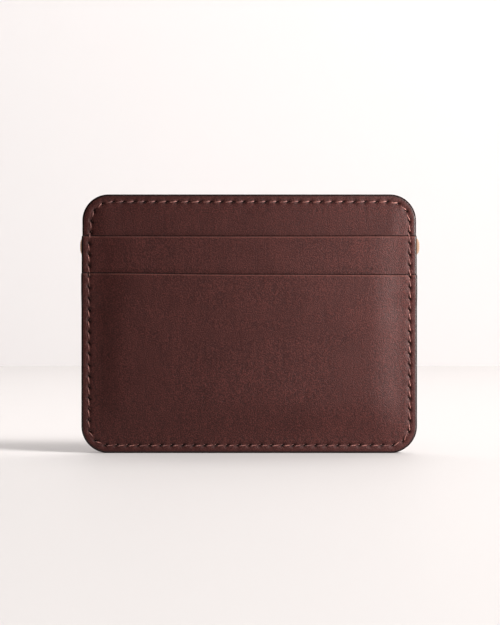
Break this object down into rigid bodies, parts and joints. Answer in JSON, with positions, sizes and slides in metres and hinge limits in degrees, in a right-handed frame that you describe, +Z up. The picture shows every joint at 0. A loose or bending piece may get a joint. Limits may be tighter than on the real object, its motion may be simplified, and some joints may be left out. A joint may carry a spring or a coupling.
{
  "type": "card wallet",
  "caption": "Slim leather card wallet with stacked card slots on the front, a sewn rim and an elastic band across the back for folded notes.",
  "frame": {"origin": "middle of the lower edge the wallet stands on, half-way through its thickness", "axes": "+X along the wallet, +Y out of its back (the card slots face -Y), +Z up from the lower edge towards the slot mouths"},
  "size_m": [0.1014, 0.0064, 0.0771],
  "materials": {
    "body_leather": "smooth full-grain, waxed, satin",
    "pocket_leather": "smooth full-grain, waxed, satin",
    "stiffener": "bonded fibre board, matte",
    "lining_cloth": "fine woven polyester, matte",
    "seam_thread": "bonded twisted thread, soft sheen",
    "band_elastic": "knitted elastic, matte"
  },
  "bodies": {
    "sewn_wallet": {"back_panel": "body_leather", "core_board": "stiffener", "body_panel": "body_leather", "upper_pocket": "pocket_leather", "upper_pocket_lining": "lining_cloth", "lower_pocket": "pocket_leather", "front_thread": "seam_thread", "back_thread": "seam_thread", "band_anchor_left": "band_elastic", "band_anchor_right": "band_elastic", "band_stretch_left": "band_elastic", "band_stretch_right": "band_elastic"},
    "cash_band": {"band_run": "band_elastic"}
  },
  "joints": [
    {"name": "cash_band_stretch", "type": "slide", "parent": "sewn_wallet", "child": "cash_band", "axis": [0, 1, 0], "range_m": [0, 0.005], "stiffness_N_per_m": 200, "deforming": ["band_stretch_left", "band_stretch_right"]}
  ]
}
